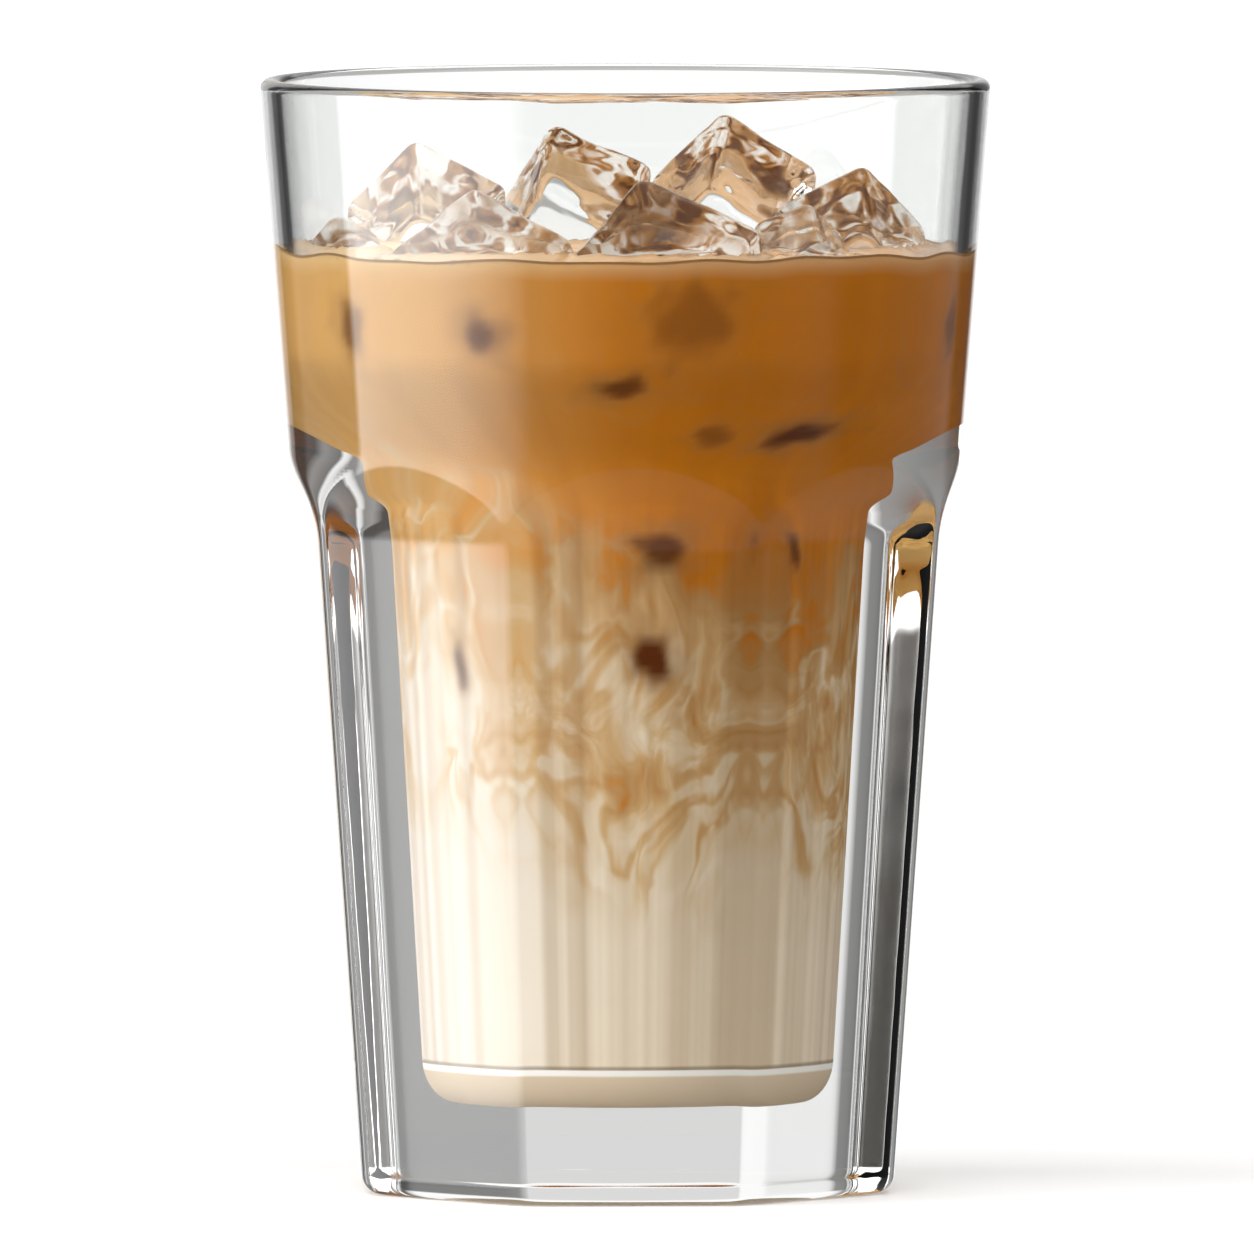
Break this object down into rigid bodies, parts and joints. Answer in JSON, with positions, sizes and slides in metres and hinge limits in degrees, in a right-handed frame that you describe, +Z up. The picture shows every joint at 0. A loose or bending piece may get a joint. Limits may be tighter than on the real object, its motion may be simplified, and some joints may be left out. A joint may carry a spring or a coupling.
{
  "type": "iced latte",
  "caption": "Iced latte in a heavy clear tumbler with flat side panels: milk below, milky coffee above, ice cubes standing out of the drink.",
  "frame": {"origin": "centre of the tumbler's flat foot, on the surface it stands on", "axes": "+Z up along the tumbler, -Y towards the side the picture shows, +X to its right"},
  "size_m": [0.092, 0.092, 0.14],
  "materials": {
    "glass": "clear polished pressed glass",
    "milk": "opaque cream-white milk",
    "coffee": "opaque caramel-brown milky coffee, wet and glossy",
    "ice": "clear wet melting ice"
  },
  "bodies": {
    "root": {"glass": "glass", "milk_layer": "milk", "coffee_layer": "coffee", "ice_cube_far_left": "ice", "ice_cube_left_back": "ice", "ice_cube_left_front": "ice", "ice_cube_back": "ice", "ice_cube_front": "ice", "ice_cube_tall": "ice", "ice_cube_right": "ice", "ice_cube_small": "ice", "ice_cube_low": "ice"}
  },
  "joints": []
}
